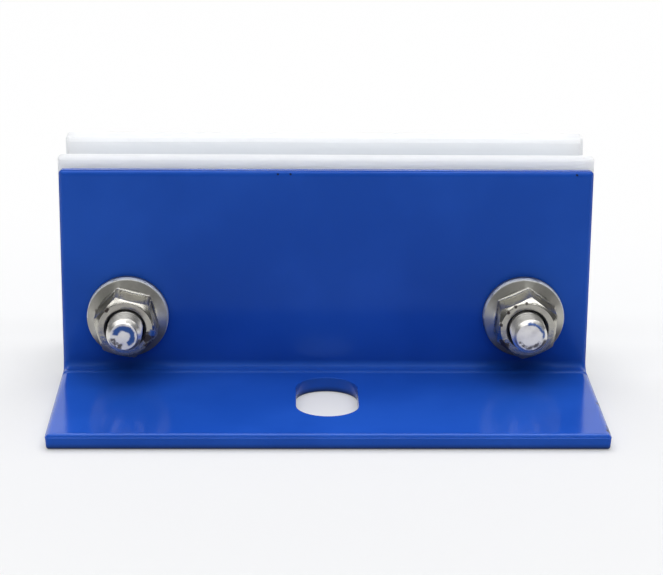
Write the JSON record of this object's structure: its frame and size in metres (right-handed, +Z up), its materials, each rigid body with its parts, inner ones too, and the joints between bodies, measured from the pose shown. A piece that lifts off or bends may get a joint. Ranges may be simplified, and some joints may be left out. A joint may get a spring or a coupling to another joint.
{
  "type": "elevator guide shoe",
  "caption": "Sliding guide shoe: a folded steel angle with a fixing slot carries a plastic rail channel on bolts with flange nuts.",
  "frame": {"origin": "centre of the fixing slot on the underside of the base", "axes": "+X along the rail, +Y from the free edge of the base towards the rail side, +Z up, out of the surface that the base is fixed to"},
  "size_m": [0.141, 0.0934, 0.0605],
  "materials": {
    "bracket_paint": "glossy blue paint on folded steel",
    "liner_nylon": "white nylon, slightly translucent",
    "zinc_nut": "bright zinc plate",
    "insert_nylon": "dark nylon",
    "zinc_bolt": "bright zinc plate",
    "zinc_washer": "bright zinc plate"
  },
  "bodies": {
    "root": {"angle_bracket": "bracket_paint", "guide_liner": "liner_nylon", "left_flange_nut": "zinc_nut", "right_flange_nut": "zinc_nut", "left_nut_insert": "insert_nylon", "right_nut_insert": "insert_nylon", "left_hex_bolt": "zinc_bolt", "right_hex_bolt": "zinc_bolt", "left_washer": "zinc_washer", "right_washer": "zinc_washer"}
  },
  "joints": []
}
